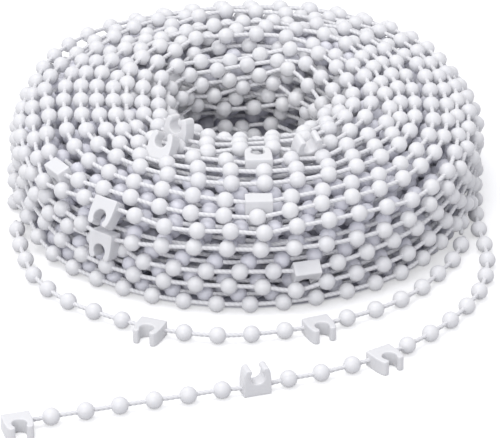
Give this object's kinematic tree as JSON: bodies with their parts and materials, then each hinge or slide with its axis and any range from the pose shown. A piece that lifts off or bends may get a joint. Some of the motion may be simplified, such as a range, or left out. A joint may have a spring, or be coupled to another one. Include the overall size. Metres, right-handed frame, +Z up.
{
  "type": "bead chain with hook clips for vertical blinds",
  "caption": "White bead chain with C-shaped hook clips for the bottom of vertical blinds, wound into a flat coil with its outer turn and its free end lying loose in front.",
  "frame": {"origin": "middle of the chain's footprint, on the surface that it lies on", "axes": "+Z up along the coil's axis, -Y towards the free end in front of the coil, +X to the right as seen from the free end"},
  "size_m": [0.0912, 0.14, 0.0255],
  "materials": {
    "bead": "smooth moulded white with a soft shine",
    "clip": "smooth moulded white with a soft shine",
    "cord": "white twisted thread"
  },
  "bodies": {
    "root": {"coil_clip_crown_front": "clip", "coil_clip_crown_left": "clip", "coil_clip_crown_right": "clip", "coil_clip_face_left": "clip", "coil_clip_face_right": "clip", "coil_clip_face_upper": "clip", "coil_clip_rim_left": "clip", "coil_clip_shoulder": "clip", "coil_clip_side_left": "clip", "loop_bead_01": "bead", "loop_bead_02": "bead", "loop_bead_03": "bead", "loop_bead_04": "bead", "loop_bead_05": "bead", "loop_bead_06": "bead", "loop_bead_07": "bead", "loop_bead_08": "bead", "loop_bead_09": "bead", "loop_bead_10": "bead", "loop_bead_11": "bead", "loop_bead_12": "bead", "loop_bead_13": "bead", "loop_bead_14": "bead", "loop_bead_15": "bead", "loop_bead_16": "bead", "loop_bead_17": "bead", "loop_bead_18": "bead", "loop_bead_19": "bead", "loop_clip_01": "clip", "loop_clip_02": "clip", "loop_cord": "cord", "tail_bead_01": "bead", "tail_bead_02": "bead", "tail_bead_03": "bead", "tail_bead_04": "bead", "tail_bead_05": "bead", "tail_bead_06": "bead", "tail_bead_07": "bead", "tail_bead_08": "bead", "tail_bead_09": "bead", "tail_bead_10": "bead", "tail_bead_11": "bead", "tail_bead_12": "bead", "tail_bead_13": "bead", "tail_bead_14": "bead", "tail_bead_15": "bead", "tail_bead_16": "bead", "tail_bead_17": "bead", "tail_bead_18": "bead", "tail_bead_19": "bead", "tail_bead_20": "bead", "tail_clip_01": "clip", "tail_clip_02": "clip", "tail_clip_03": "clip", "tail_cord": "cord", "wound_coil": "bead"}
  },
  "joints": []
}
